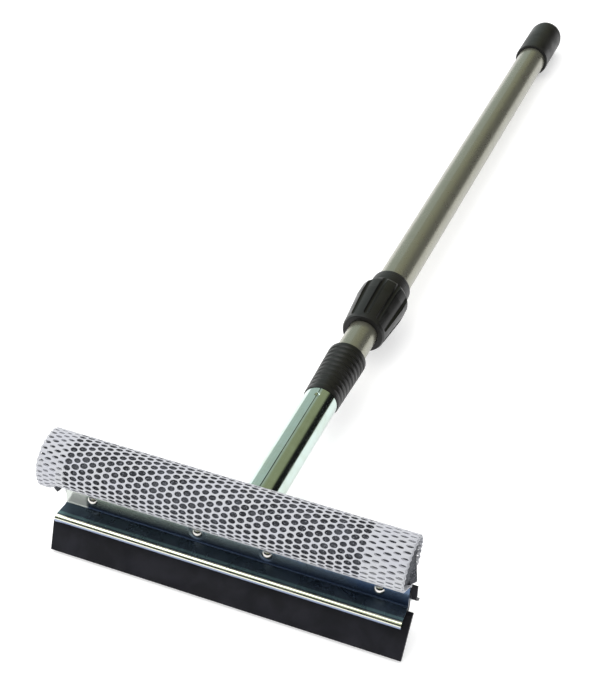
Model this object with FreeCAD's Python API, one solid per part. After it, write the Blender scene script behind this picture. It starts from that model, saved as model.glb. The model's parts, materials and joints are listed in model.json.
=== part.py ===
import FreeCAD, Part
import math
import os
from FreeCAD import Vector

# Window squeegee on a telescopic pole, in millimetres.
# Every piece is drawn in the pole's own frame: X along the head, Y along the pole towards its
# end cap, Z up through the sponge, with the pole's axis on X = Z = 0 and the front of the
# riveted flange on Y = 0.  place() then lays the whole tool down as it rests on a floor.

# ---------------------------------------------------------------- driving dimensions
HEAD_LENGTH = 203.2          # 8 inch plates
PLATE_T = 0.8                # plate steel

FLANGE_TOP = 9.0             # upper edge of both plates
FLANGE_BEND = -4.9           # where the front plate turns forward
SKIRT_LENGTH = 12.5
SKIRT_SLOPE = 12.5           # degrees below level
HEM_HEIGHT = 5.0             # rolled hem, centre line to centre line
HEM_RETURN = 4.0
HEM_RADIUS = 2.45
HEM_FLARE = 2.2              # the skirt runs out this far to the left
FRONT_BEND_RADIUS = 1.2

BACK_BEND = -3.0             # where the back plate turns backward
BACK_BEND_RADIUS = 3.0
BACK_SKIRT = 5.5
BACK_SLOPE = 46.0            # degrees from upright

BLADE_T = 2.4
BLADE_TOP = 4.5
BLADE_BEND = -7.0
BLADE_REACH = 28.6           # from the bend to the lip
BLADE_LEAN = 38.4            # degrees from upright
BLADE_OVERHANG = 3.0         # past the plates, at each end
BLADE_TOP_SLANT = 2.8        # its left end is cut askew, longer at the top
BLADE_SHOULDER = 2.5         # the right overhang starts this far below the bend
BLADE_LEFT_SHOULDER = 9.0    # and the left one, under the hem
BLADE_RADIUS = 5.0

FLAP_T = 1.5
FLAP_TOP = 7.0
FLAP_BEYOND = 2.6            # past the back plate's skirt
FLAP_OVERHANG = 3.0

ROLL_RADIUS = 15.7           # outside of the net
ROLL_Y = -1.7
ROLL_Z = 29.5
ROLL_LEFT = -107.6
ROLL_RIGHT = 101.4
NET_T = 0.8
SPONGE_GAP = 0.1
SPONGE_RECESS = 2.0          # foam ends lie inside the net's ends
NECK_Z = 9.7                 # the roll narrows to the clamp here
CLAMP_GAP = 0.05

RIVET_R = 1.6
RIVET_HEAD_R = 3.15
RIVET_HEAD_H = 2.2
RIVET_TAIL_R = 2.3
RIVET_TAIL_H = 1.1
RIVET_Z = 1.5
RIVET_HOLE_GAP = 0.05
OUTER_RIVET_X = 85.0
CENTRE_RIVET_X = 20.8
DISH_R = 5.2                 # pressed dish round each centre rivet
DISH_DEPTH = 0.35
WASHER_R = 3.0
WASHER_T = 0.8

HANDLE_R = 10.9              # rolled handle tube, outside
HANDLE_T = 0.9
HANDLE_SEAM = 0.5
HANDLE_LENGTH = 158.0           # from the flange to the tube's end
TANG_TOP = 7.5
TANG_BEND_RADIUS = 3.0
TANG_CORNER = 8.0
FLAT_END = 8.0               # the sheet is flat up to here
CURL_END = 38.0              # and fully rolled from here
TANG_NOTCH_GAP = 1.5         # plates and flap are notched round the tang
DIMPLE_TO_GRIP = 6.5
DIMPLE_R = 3.0
DIMPLE_DEPTH = 0.6

GRIP_OVERLAP = 24.6          # how far the grip reaches over the handle tube
GRIP_LENGTH = 47.0
GRIP_NOSE_WALL = 0.6         # over the handle tube
GRIP_TAIL_WALL = 1.9
GRIP_RINGS = 9
GRIP_GROOVE = 0.7
GRIP_RIM = 5.0
GRIP_GAP = 0.05

INNER_T = 0.6
INNER_OVERLAP = 86.0         # how far it is pushed into the handle tube
INNER_TO_CAP = 76.5          # from its far end to the outer tube's end, pushed in

TUBE_STEP = 1.6              # outer tube's radius less the inner tube's
OUTER_T = 0.6
OUTER_LENGTH = 442.5

RUNNING_GAP = 0.05           # running fits
FREE_GAP = 0.3               # pieces that only pass each other
PRESS_GAP = 0.04

PLUG_DEPTH = 18.0
PLUG_FLANGE = 3.0
PLUG_BORE_R = 5.5
PLUG_LIP = 2.6
RING_WALL = 2.9              # bore of the outer tube to the hub
RING_LENGTH = 12.0
RING_SPLIT = 1.5

PARKED_GAP = 28.1            # bare inner tube between grip and nut
NUT_LENGTH = 44.5
NUT_NOSE_WALL = 2.7          # the lock's walls are counted from the outer tube's radius
NUT_WALL = 5.5
NUT_LIP = 4.0
NUT_FLUTES = 10
FLUTE_R = 2.0
FLUTE_START = 3.0            # behind the nut's smooth front ring
FLUTE_NOSE_WALL = 1.9
FLUTE_TAIL_WALL = 3.8
SPIGOT_WALL = 1.5
NUT_POCKET = 18.5            # from the nut's face to the spigot
CONE_LENGTH = 11.0
CONE_MOUTH_WALL = 0.8
NECK_GAP = 1.0
NECK_LENGTH = 12.0
SEAT_LENGTH = 22.0           # outer tube inside the lock body
NECK_WALL = 2.6
NECK_TAIL_WALL = 2.1

CAP_LENGTH = 54.0
CAP_WALL = 4.5
CAP_SIDE = 2.3
CAP_CHAMFER = 5.0
CAP_TIP_IN = 1.1
CAP_TIP_ROUND = 2.4

# ---------------------------------------------------------------- worked-out values
HALF = HEAD_LENGTH / 2
FRONT_Y = PLATE_T / 2                                   # middle of the front plate
BLADE_Y = PLATE_T + BLADE_T / 2
BACK_Y = PLATE_T + BLADE_T + PLATE_T / 2
BACK_FACE = PLATE_T + BLADE_T + PLATE_T                 # rear face of the back plate
HANDLE_MID = HANDLE_R - HANDLE_T / 2
INNER_R = HANDLE_R - HANDLE_T - 0.1
SHEET_HALF = (2 * math.pi * HANDLE_MID - HANDLE_SEAM) / 2
NOTCH_HALF = SHEET_HALF + TANG_NOTCH_GAP
RIVET_XS = {"outer": OUTER_RIVET_X, "centre": CENTRE_RIVET_X}
OUTER_R = INNER_R + TUBE_STEP
BORE_R = OUTER_R - OUTER_T                              # bore of the outer tube
RING_HUB_R = BORE_R - RING_WALL
GRIP_NOSE_R = HANDLE_R + GRIP_NOSE_WALL
GRIP_TAIL_R = HANDLE_R + GRIP_TAIL_WALL
NUT_NOSE_R = OUTER_R + NUT_NOSE_WALL
NUT_R = OUTER_R + NUT_WALL
SPIGOT_R = OUTER_R + SPIGOT_WALL
CONE_MOUTH_R = OUTER_R + CONE_MOUTH_WALL
NECK_R = OUTER_R + NECK_WALL
NECK_TAIL_R = OUTER_R + NECK_TAIL_WALL
CAP_R = OUTER_R + CAP_SIDE
CAP_TIP_R = CAP_R - CAP_TIP_IN
HANDLE_END = HANDLE_LENGTH
GRIP_START = HANDLE_END - GRIP_OVERLAP
GRIP_END = GRIP_START + GRIP_LENGTH
DIMPLE_Y = GRIP_START - DIMPLE_TO_GRIP
INNER_START = HANDLE_END - INNER_OVERLAP
NUT_START = GRIP_END + PARKED_GAP
NUT_END = NUT_START + NUT_LENGTH
SPIGOT_START = NUT_START + NUT_POCKET
NECK_START = NUT_END + NECK_GAP
NECK_END = NECK_START + NECK_LENGTH
OUTER_START = NECK_END - SEAT_LENGTH
OUTER_END = OUTER_START + OUTER_LENGTH
INNER_END = OUTER_END - INNER_TO_CAP
RING_START = INNER_END + PLUG_FLANGE
CAP_END = OUTER_END + CAP_WALL
CAP_START = CAP_END - CAP_LENGTH


# ---------------------------------------------------------------- drawing helpers
def turn(vector, degrees):
    """The plane vector turned anticlockwise."""
    a = math.radians(degrees)
    u, v = vector
    return (u * math.cos(a) - v * math.sin(a), u * math.sin(a) + v * math.cos(a))


def step(point, direction, length):
    return (point[0] + direction[0] * length, point[1] + direction[1] * length)


def unit(a, b):
    length = math.dist(a, b)
    return ((b[0] - a[0]) / length, (b[1] - a[1]) / length)


def in_yz(point):
    return Vector(0, point[0], point[1])


def in_ry(point):
    return Vector(point[0], point[1], 0)


def path_edges(points, radii, lift):
    """Straight runs joined by tangent arcs; radii holds one radius for each inner corner."""
    edges = []
    start = points[0]
    for k, radius in enumerate(radii, 1):
        before = unit(points[k - 1], points[k])
        after = unit(points[k], points[k + 1])
        cross = before[0] * after[1] - before[1] * after[0]
        half = math.atan2(cross, before[0] * after[0] + before[1] * after[1]) / 2
        if radius <= 0 or abs(half) < 1e-6:
            edges.append(Part.makeLine(lift(start), lift(points[k])))
            start = points[k]
            continue
        trim = radius * math.tan(abs(half))
        a = step(points[k], before, -trim)
        b = step(points[k], after, trim)
        inward = turn(before, 90 if half > 0 else -90)
        centre = step(a, inward, radius)
        middle = step(centre, unit(centre, points[k]), radius)
        if math.dist(start, a) > 1e-6:
            edges.append(Part.makeLine(lift(start), lift(a)))
        edges.append(Part.Arc(lift(a), lift(middle), lift(b)).toShape())
        start = b
    if math.dist(start, points[-1]) > 1e-6:
        edges.append(Part.makeLine(lift(start), lift(points[-1])))
    return edges


def offset_path(points, distance):
    """The path moved sideways, to the left of its travel."""
    lines = []
    for a, b in zip(points, points[1:]):
        side = turn(unit(a, b), 90)
        lines.append((step(a, side, distance), step(b, side, distance)))
    moved = [lines[0][0]]
    for (a, b), (c, d) in zip(lines, lines[1:]):
        r = (b[0] - a[0], b[1] - a[1])
        s = (d[0] - c[0], d[1] - c[1])
        t = ((c[0] - a[0]) * s[1] - (c[1] - a[1]) * s[0]) / (r[0] * s[1] - r[1] * s[0])
        moved.append((a[0] + r[0] * t, a[1] + r[1] * t))
    moved.append(lines[-1][1])
    return moved


def bent_sheet(path, radii, thickness, x0, x1):
    """A sheet of even thickness bent along a path in the YZ plane, from x0 to x1."""
    turns = []
    for a, b, c in zip(path, path[1:], path[2:]):
        u, v = unit(a, b), unit(b, c)
        turns.append(1 if u[0] * v[1] - u[1] * v[0] > 0 else -1)
    sides = []
    for sign in (1, -1):
        side_radii = [r - sign * way * thickness / 2 for r, way in zip(radii, turns)]
        sides.append((offset_path(path, sign * thickness / 2), side_radii))
    (left, left_radii), (right, right_radii) = sides
    edges = path_edges(left, left_radii, in_yz) + path_edges(right, right_radii, in_yz)
    edges.append(Part.makeLine(in_yz(left[0]), in_yz(right[0])))
    edges.append(Part.makeLine(in_yz(left[-1]), in_yz(right[-1])))
    face = Part.Face(Part.Wire(Part.__sortEdges__(edges)))
    face.translate(Vector(x0, 0, 0))
    return face.extrude(Vector(x1 - x0, 0, 0))


def turned(points, rounds=None):
    """A solid of revolution about the pole's axis from a closed outline of (radius, y)."""
    radii = [0.0] * len(points)
    for corner, radius in (rounds or {}).items():
        radii[corner] = radius
    middle = ((points[0][0] + points[-1][0]) / 2, (points[0][1] + points[-1][1]) / 2)
    edges = path_edges([middle] + points + [middle], radii, in_ry)
    face = Part.Face(Part.Wire(Part.__sortEdges__(edges)))
    return face.revolve(Vector(0, 0, 0), Vector(0, 1, 0), 360)


def rod(radius, y0, y1, x=0.0, z=0.0):
    return Part.makeCylinder(radius, y1 - y0, Vector(x, y0, z), Vector(0, 1, 0))


def pipe(outside, inside, y0, y1, x=0.0, z=0.0):
    return rod(outside, y0, y1, x, z).cut(rod(inside, y0, y1, x, z))


def block(x0, x1, y0, y1, z0, z1):
    return Part.makeBox(x1 - x0, y1 - y0, z1 - z0, Vector(x0, y0, z0))


def pair(shape, x):
    """Two copies of a piece, at -x and +x."""
    copies = []
    for side in (-x, x):
        copy = shape.copy()
        copy.translate(Vector(side, 0, 0))
        copies.append(copy)
    return Part.makeCompound(copies)


def rivet_holes(names):
    holes = []
    for name in names:
        for side in (-1, 1):
            radius = RIVET_R + RIVET_HOLE_GAP
            holes.append(rod(radius, -20, 20, side * RIVET_XS[name], RIVET_Z))
    return Part.makeCompound(holes)


# ---------------------------------------------------------------- head
SKIRT_WAY = turn((-1.0, 0.0), SKIRT_SLOPE)
HEM_WAY = turn(SKIRT_WAY, 90)


def left_trim(edge, way):
    """Everything to the left of an edge line of (x, along), for cutting an end askew."""
    outside = [(edge[-1][0] - 20, edge[-1][1]), (edge[0][0] - 20, edge[0][1])]
    if way.z:
        points = [Vector(x, a, -50) for x, a in edge + outside]
    else:
        points = [Vector(x, -50, a) for x, a in edge + outside]
    return Part.Face(Part.makePolygon(points + points[:1])).extrude(way * 100)


def front_plate():
    corner = (FRONT_Y, FLANGE_BEND)
    hem_top = step(corner, SKIRT_WAY, SKIRT_LENGTH)
    hem_foot = step(hem_top, HEM_WAY, HEM_HEIGHT)
    hem_end = step(hem_foot, SKIRT_WAY, -HEM_RETURN)
    path = [(FRONT_Y, FLANGE_TOP), corner, hem_top, hem_foot, hem_end]
    radii = [FRONT_BEND_RADIUS, HEM_RADIUS, HEM_RADIUS]
    plate = bent_sheet(path, radii, PLATE_T, -HALF - HEM_FLARE, HALF)
    far = SKIRT_WAY[0] * SKIRT_LENGTH
    plate = plate.cut(left_trim([(-HALF, 20), (-HALF, -2), (-HALF - HEM_FLARE, far),
                                 (-HALF - HEM_FLARE, far - 20)], Vector(0, 0, 1)))
    for side in (-1, 1):
        centre = Vector(side * CENTRE_RIVET_X, 0, RIVET_Z)
        dish = Part.makeCone(DISH_R, DISH_R - 4 * DISH_DEPTH, DISH_DEPTH, centre, Vector(0, 1, 0))
        plate = plate.cut(dish)
    return plate.cut(rivet_holes(("outer", "centre")))


def back_path():
    corner = (BACK_Y, BACK_BEND)
    way = turn((0.0, -1.0), BACK_SLOPE)
    return [(BACK_Y, FLANGE_TOP), corner, step(corner, way, BACK_SKIRT)]


def tang_notch():
    arc_top = BACK_BEND + BACK_BEND_RADIUS * math.tan(math.radians(BACK_SLOPE / 2))
    return block(-NOTCH_HALF, NOTCH_HALF, BACK_FACE - PLATE_T, 40, -40, arc_top)


def back_plate():
    plate = bent_sheet(back_path(), [BACK_BEND_RADIUS], PLATE_T, -HALF, HALF)
    return plate.cut(tang_notch()).cut(rivet_holes(("outer", "centre")))


def rear_flap():
    apart = (PLATE_T + FLAP_T) / 2
    path = offset_path(back_path(), apart)
    top, corner, end = path
    path = [(top[0], FLAP_TOP), corner, step(end, unit(corner, end), FLAP_BEYOND)]
    reach = HALF + FLAP_OVERHANG
    flap = bent_sheet(path, [BACK_BEND_RADIUS - apart], FLAP_T, -reach, reach)
    notch = block(-NOTCH_HALF, NOTCH_HALF, BACK_FACE - PLATE_T, 40, -40, 40)
    return flap.cut(notch).cut(rivet_holes(("outer",)))


def blade_path():
    corner = (BLADE_Y, BLADE_BEND)
    way = turn((0.0, -1.0), -BLADE_LEAN)
    return [(BLADE_Y, BLADE_TOP), corner, step(corner, way, BLADE_REACH)]


def rubber_blade():
    path = blade_path()
    root = bent_sheet(path, [BLADE_RADIUS], BLADE_T, -HALF, HALF)
    reach = HALF + BLADE_OVERHANG
    left = reach + BLADE_TOP_SLANT
    wide = bent_sheet(path, [BLADE_RADIUS], BLADE_T, -left, reach)
    top = BLADE_BEND - BLADE_LEFT_SHOULDER
    wide = wide.cut(block(-left, 0, -20, 20, top, FLANGE_TOP))
    wide = wide.cut(block(0, reach, -20, 20, BLADE_BEND - BLADE_SHOULDER, FLANGE_TOP))
    wide = wide.cut(left_trim([(-left, FLANGE_TOP), (-left, top), (-reach, path[-1][1]),
                               (-reach, path[-1][1] - 10)], Vector(0, 1, 0)))
    blade = root.fuse(wide).removeSplitter()
    return blade.cut(rivet_holes(("outer", "centre")))


def tangent_point(point, centre, radius, side):
    """Where a line from the point touches the circle."""
    away = math.degrees(math.acos(radius / math.dist(point, centre)))
    return step(centre, turn(unit(centre, point), side * away), radius)


def teardrop(inset, x0, x1):
    """The roll's section: round above, pinched to a flat tail between the plates."""
    centre = (ROLL_Y, ROLL_Z)
    radius = ROLL_RADIUS - inset
    front = PLATE_T + CLAMP_GAP + inset
    rear = PLATE_T + BLADE_T - CLAMP_GAP - inset
    foot = BLADE_TOP + 0.5
    neck_front = (front, NECK_Z)
    neck_rear = (rear, NECK_Z)
    a = tangent_point(neck_front, centre, radius, -1)
    b = tangent_point(neck_rear, centre, radius, 1)
    crown = (ROLL_Y, ROLL_Z + radius)
    outline = [(front, foot), neck_front, a]
    edges = [Part.makeLine(in_yz(p), in_yz(q)) for p, q in zip(outline, outline[1:])]
    edges.append(Part.Arc(in_yz(a), in_yz(crown), in_yz(b)).toShape())
    outline = [b, neck_rear, (rear, foot), (front, foot)]
    edges += [Part.makeLine(in_yz(p), in_yz(q)) for p, q in zip(outline, outline[1:])]
    face = Part.Face(Part.Wire(Part.__sortEdges__(edges)))
    face.translate(Vector(x0, 0, 0))
    return face.extrude(Vector(x1 - x0, 0, 0))


def tail_trim():
    """The net and the foam keep to the plates' length where they are pinched."""
    cuts = [block(side * HALF if side > 0 else -HALF - 20, side * HALF + 20 if side > 0 else -HALF,
                  PLATE_T - 1, BACK_FACE + 1, 0, NECK_Z) for side in (-1, 1)]
    return Part.makeCompound(cuts)


def sponge():
    inset = NET_T + SPONGE_GAP
    foam = teardrop(inset, ROLL_LEFT + SPONGE_RECESS, ROLL_RIGHT - SPONGE_RECESS)
    return foam.cut(tail_trim())


def net_cover():
    sleeve = teardrop(0.0, ROLL_LEFT, ROLL_RIGHT)
    sleeve = sleeve.cut(teardrop(NET_T, ROLL_LEFT - 1, ROLL_RIGHT + 1))
    return sleeve.cut(tail_trim())


def rivet(seat, back):
    """A dome-head rivet from its seat to its set tail; the head points forward."""
    head = (RIVET_HEAD_R ** 2 + RIVET_HEAD_H ** 2) / (2 * RIVET_HEAD_H)
    dome = Part.makeSphere(head, Vector(0, seat - RIVET_HEAD_H + head, 0))
    dome = dome.common(rod(RIVET_HEAD_R + 1, seat - RIVET_HEAD_H - 1, seat))
    shank = rod(RIVET_R, seat - 0.5, back + 0.5)
    tail = Part.makeCone(RIVET_TAIL_R, RIVET_TAIL_R - 0.9, RIVET_TAIL_H,
                         Vector(0, back, 0), Vector(0, 1, 0))
    piece = dome.fuse([shank, tail]).removeSplitter()
    piece.translate(Vector(0, 0, RIVET_Z))
    return piece


OUTER_BACK = BACK_FACE + FLAP_T + WASHER_T
CENTRE_BACK = BACK_FACE + HANDLE_T + WASHER_T


def outer_rivets():
    return pair(rivet(0.0, OUTER_BACK), OUTER_RIVET_X)


def centre_rivets():
    return pair(rivet(DISH_DEPTH, CENTRE_BACK), CENTRE_RIVET_X)


def washers(x, back):
    ring = pipe(WASHER_R, RIVET_R + RIVET_HOLE_GAP, back - WASHER_T, back, 0, RIVET_Z)
    return pair(ring, x)


def outer_rivet_washers():
    return washers(OUTER_RIVET_X, OUTER_BACK)


def centre_rivet_washers():
    return washers(CENTRE_RIVET_X, CENTRE_BACK)


# ---------------------------------------------------------------- handle
def curled_section(y, curl):
    """The sheet's section, from flat (curl 0) to a tube with a narrow open seam (curl 1)."""
    half_t = HANDLE_T / 2
    if curl == 0:
        corners = [(-SHEET_HALF, -half_t), (SHEET_HALF, -half_t),
                   (SHEET_HALF, half_t), (-SHEET_HALF, half_t)]
        points = [Vector(x, y, z - HANDLE_MID) for x, z in corners]
        return Part.makePolygon(points + points[:1])
    radius = HANDLE_MID / curl
    half = SHEET_HALF / radius

    def at(r, angle):
        return Vector(r * math.sin(angle), y, radius - HANDLE_MID - r * math.cos(angle))

    outer, inner = radius + half_t, radius - half_t
    below = Part.Arc(at(outer, -half), at(outer, 0), at(outer, half)).toShape()
    above = Part.Arc(at(inner, half), at(inner, 0), at(inner, -half)).toShape()
    ends = [Part.makeLine(at(outer, half), at(inner, half)),
            Part.makeLine(at(inner, -half), at(outer, -half))]
    return Part.Wire([below, ends[0], above, ends[1]])


def handle_tube():
    tang_y = BACK_FACE + HANDLE_T / 2
    path = [(tang_y, TANG_TOP), (tang_y, -HANDLE_MID), (FLAT_END, -HANDLE_MID)]
    tang = bent_sheet(path, [TANG_BEND_RADIUS], HANDLE_T, -SHEET_HALF, SHEET_HALF)
    for side in (-1, 1):
        x = side * (SHEET_HALF - TANG_CORNER)
        z = TANG_TOP - TANG_CORNER
        corner = block(min(x, side * SHEET_HALF), max(x, side * SHEET_HALF),
                       BACK_FACE - 1, BACK_FACE + HANDLE_T + 1, z, TANG_TOP)
        tang = tang.cut(corner.cut(rod(TANG_CORNER, BACK_FACE - 2, BACK_FACE + 4, x, z)))
    tang = tang.cut(rivet_holes(("centre",)))
    stations = 7
    sections = []
    for k in range(stations):
        share = k / (stations - 1)
        curl = share * share * (3 - 2 * share)
        sections.append(curled_section(FLAT_END + share * (CURL_END - FLAT_END), curl))
    throat = Part.makeLoft(sections, True, False)
    barrel = Part.Face(curled_section(CURL_END, 1)).extrude(Vector(0, HANDLE_END - CURL_END, 0))
    dimple = Part.makeSphere(DIMPLE_R, Vector(0, DIMPLE_Y, HANDLE_R + DIMPLE_R - DIMPLE_DEPTH))
    return tang.fuse([throat, barrel]).cut(dimple)


def grip_sleeve():
    """A tapered sleeve with rounded ribs and a smooth rim at its wide end."""
    ribbed = GRIP_LENGTH - GRIP_RIM
    pitch = ribbed / GRIP_RINGS

    def radius(y):
        return GRIP_NOSE_R + (GRIP_TAIL_R - GRIP_NOSE_R) * (y - GRIP_START) / ribbed

    over_tube = HANDLE_R + GRIP_GAP
    over_inner = INNER_R + GRIP_GAP
    outline = [(over_tube, GRIP_START)]
    for k in range(GRIP_RINGS):
        y = GRIP_START + k * pitch
        depth = min(GRIP_GROOVE, (radius(y) - over_tube) / 2)
        outline += [(radius(y) - depth, y), (radius(y + pitch / 2), y + pitch * 0.3),
                    (radius(y + pitch / 2), y + pitch * 0.7)]
    rim = GRIP_START + ribbed
    outline += [(GRIP_TAIL_R - GRIP_GROOVE, rim), (GRIP_TAIL_R, rim + 1), (GRIP_TAIL_R, GRIP_END - 1),
                (GRIP_TAIL_R - 1, GRIP_END), (over_inner, GRIP_END),
                (over_inner, HANDLE_END + GRIP_GAP), (over_tube, HANDLE_END + GRIP_GAP)]
    return turned(outline)


def inner_tube():
    return pipe(INNER_R, INNER_R - INNER_T, INNER_START, INNER_END)


def tail_plug():
    shank = INNER_R - INNER_T - PRESS_GAP
    flange = BORE_R - 2 * FREE_GAP
    lip_start = RING_START + RING_LENGTH + 2 * RUNNING_GAP
    lip = RING_HUB_R + 1.2
    outline = [(PLUG_BORE_R, INNER_END - PLUG_DEPTH), (shank - 0.8, INNER_END - PLUG_DEPTH),
               (shank, INNER_END - PLUG_DEPTH + 2), (shank, INNER_END), (flange, INNER_END),
               (flange, RING_START), (RING_HUB_R, RING_START), (RING_HUB_R, lip_start),
               (lip, lip_start), (lip - 0.6, lip_start + PLUG_LIP),
               (PLUG_BORE_R, lip_start + PLUG_LIP)]
    return turned(outline)


def split(ring, radius, y0, y1):
    return ring.cut(block(-RING_SPLIT / 2, RING_SPLIT / 2, y0 - 1, y1 + 1, 0, radius + 1))


def wear_ring():
    start = RING_START + RUNNING_GAP
    ring = pipe(BORE_R - RUNNING_GAP, RING_HUB_R + RUNNING_GAP, start, start + RING_LENGTH)
    return split(ring, BORE_R, start, start + RING_LENGTH)


# ---------------------------------------------------------------- pole and twist lock
def outer_tube():
    return pipe(OUTER_R, BORE_R, OUTER_START, OUTER_END)


CONE_THROAT_R = INNER_R + FREE_GAP + 0.2
CONE_FALL = (CONE_MOUTH_R - CONE_THROAT_R) / CONE_LENGTH


def lock_body():
    """Threaded spigot under the nut, seat cone for the clamp ring, smooth neck on the tube."""
    seat = OUTER_R + PRESS_GAP
    outline = [(CONE_MOUTH_R, SPIGOT_START), (SPIGOT_R, SPIGOT_START), (SPIGOT_R, NECK_START),
               (NECK_R, NECK_START), (NECK_TAIL_R, NECK_END), (seat, NECK_END),
               (seat, OUTER_START), (CONE_THROAT_R, OUTER_START),
               (CONE_THROAT_R, SPIGOT_START + CONE_LENGTH)]
    return turned(outline, {3: 0.6, 4: 1.4})


def clamp_ring():
    start = NUT_START + NUT_LIP + FREE_GAP
    body = CONE_MOUTH_R - FREE_GAP - 0.05
    cone = CONE_LENGTH - 3
    end = SPIGOT_START + cone
    tip = body - CONE_FALL * cone
    bore = INNER_R + RUNNING_GAP
    ring = turned([(bore, start), (body, start), (body, SPIGOT_START), (tip, end), (bore, end)])
    return split(ring, body, start, end)


def lock_nut():
    lip = INNER_R + FREE_GAP + 0.1
    shelf = SPIGOT_START - 1
    thread = SPIGOT_R + FREE_GAP
    outline = [(lip, NUT_START), (NUT_NOSE_R - 0.6, NUT_START), (NUT_NOSE_R + 0.2, NUT_START + 2),
               (NUT_R, NUT_END - 13), (NUT_R, NUT_END - 3), (NUT_R - 1.6, NUT_END),
               (thread, NUT_END), (thread, shelf), (CONE_MOUTH_R, shelf),
               (CONE_MOUTH_R, NUT_START + NUT_LIP), (lip, NUT_START + NUT_LIP)]
    nut = turned(outline, {1: 0.8, 4: 2.0})
    flutes = []
    near = OUTER_R + FLUTE_NOSE_WALL + FLUTE_R
    far = OUTER_R + FLUTE_TAIL_WALL + FLUTE_R
    for k in range(NUT_FLUTES):
        angle = 2 * math.pi * (k + 0.5) / NUT_FLUTES
        x, z = math.cos(angle), math.sin(angle)
        start = Vector(near * x, NUT_START + FLUTE_START + FLUTE_R, near * z)
        end = Vector(far * x, NUT_END + 1, far * z)
        flutes.append(Part.makeSphere(FLUTE_R, start))
        flutes.append(Part.makeCylinder(FLUTE_R, (end - start).Length, start, end - start))
    return nut.cut(flutes)


def end_cap():
    seat = OUTER_R + PRESS_GAP
    floor = OUTER_END + PRESS_GAP
    outline = [(seat, CAP_START), (CAP_R, CAP_START), (CAP_R, CAP_END - CAP_CHAMFER),
               (CAP_TIP_R, CAP_END), (0, CAP_END), (0, floor), (seat, floor)]
    return turned(outline, {1: 0.8, 2: 2.0, 3: CAP_TIP_ROUND})


# ---------------------------------------------------------------- laying it down
def lip_foot():
    """Lowest point of the blade: the rear lower edge of its lip."""
    path = offset_path(blade_path(), BLADE_T / 2)
    return path[-1]


def place(shapes):
    """Rests the lip and the cap on Z = 0 and centres the footprint on the origin."""
    foot_y, foot_z = lip_foot()
    cap_y = CAP_END - CAP_CHAMFER
    tilt = math.degrees(math.atan((foot_z + CAP_R) / (cap_y - foot_y)))
    for shape in shapes:
        shape.rotate(Vector(0, 0, 0), Vector(1, 0, 0), tilt)
    box = Part.makeCompound(shapes).optimalBoundingBox()
    shift = Vector(-(box.XMin + box.XMax) / 2, -(box.YMin + box.YMax) / 2, -box.ZMin)
    for shape in shapes:
        shape.translate(shift)
    print("tilt %.5f degrees, shift %.4f %.4f %.4f" % (tilt, shift.x, shift.y, shift.z))
    print("overall %.2f x %.2f x %.2f" % (box.XLength, box.YLength, box.ZLength))


PIECES = [front_plate, back_plate, rubber_blade, rear_flap, sponge, net_cover, outer_rivets,
          centre_rivets, outer_rivet_washers, centre_rivet_washers, handle_tube, grip_sleeve,
          inner_tube, tail_plug, wear_ring, outer_tube, lock_body, clamp_ring, lock_nut, end_cap]


def main():
    os.makedirs("parts", exist_ok=True)
    shapes = [piece() for piece in PIECES]
    place(shapes)
    for piece, shape in zip(PIECES, shapes):
        name = piece.__name__
        shape.exportStep("parts/%s.step" % name)
        print("%-22s solids %d valid %s volume %.0f"
              % (name, len(shape.Solids), shape.isValid(), shape.Volume))


main()
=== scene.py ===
import bmesh
import bpy
import json
import math
from bpy.props import FloatProperty, FloatVectorProperty, IntProperty, PointerProperty
from bpy.types import Operator, Panel, PropertyGroup
from mathutils import Matrix, Quaternion, Vector, noise


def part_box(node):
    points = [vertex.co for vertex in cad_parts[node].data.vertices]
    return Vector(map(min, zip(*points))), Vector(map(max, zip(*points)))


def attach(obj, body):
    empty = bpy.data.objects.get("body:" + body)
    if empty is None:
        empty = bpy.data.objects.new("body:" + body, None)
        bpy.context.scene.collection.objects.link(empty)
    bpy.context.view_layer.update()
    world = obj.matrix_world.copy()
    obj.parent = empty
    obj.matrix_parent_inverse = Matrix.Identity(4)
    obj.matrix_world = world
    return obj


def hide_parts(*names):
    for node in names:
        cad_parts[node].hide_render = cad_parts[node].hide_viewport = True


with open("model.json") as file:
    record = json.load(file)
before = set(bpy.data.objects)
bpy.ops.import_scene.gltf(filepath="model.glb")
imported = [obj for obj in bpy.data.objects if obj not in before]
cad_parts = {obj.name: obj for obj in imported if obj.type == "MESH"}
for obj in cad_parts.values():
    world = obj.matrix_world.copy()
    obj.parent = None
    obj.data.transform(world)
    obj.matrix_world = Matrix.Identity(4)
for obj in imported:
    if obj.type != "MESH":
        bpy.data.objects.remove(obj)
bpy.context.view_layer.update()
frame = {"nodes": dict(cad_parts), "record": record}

bl_info = {
    "name": "Window squeegee",
    "version": (1, 0, 0),
    "blender": (4, 5, 0),
    "location": "View3D > Sidebar > Squeegee",
    "description": "Net, foam, finishes and studio for a window squeegee on a telescopic pole",
    "category": "Object",
}

MM = 0.001

# the net: metres, unless it says millimetres
ROW_PITCH = 0.0038           # of the net's hexagons, round the roll
NET_POINTS = 160             # on the section that the net is wrapped round
NET_CLEARANCE = 0.05         # mm that the net lies inside the roll's outside
NET_WAVE, NET_SWAY = 0.0010, 0.0016   # unevenness round the roll and along it
LINING_STEP = (0.12, 0.08)   # share of a hexagon by which a band's lining is out of step
LINING_DEPTH = 0.0007        # of the lining under the outer layer

# the roll's section and its free end, in millimetres
CLAMP_CLEARANCE = 0.1        # between the roll's tail and either plate
ARC_STEPS = 48               # on the round of the section
FREE_FROM = -98.5            # left of this nothing pinches the roll, and it hangs round
FREE_RUN = 6.0               # length over which it changes

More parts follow.
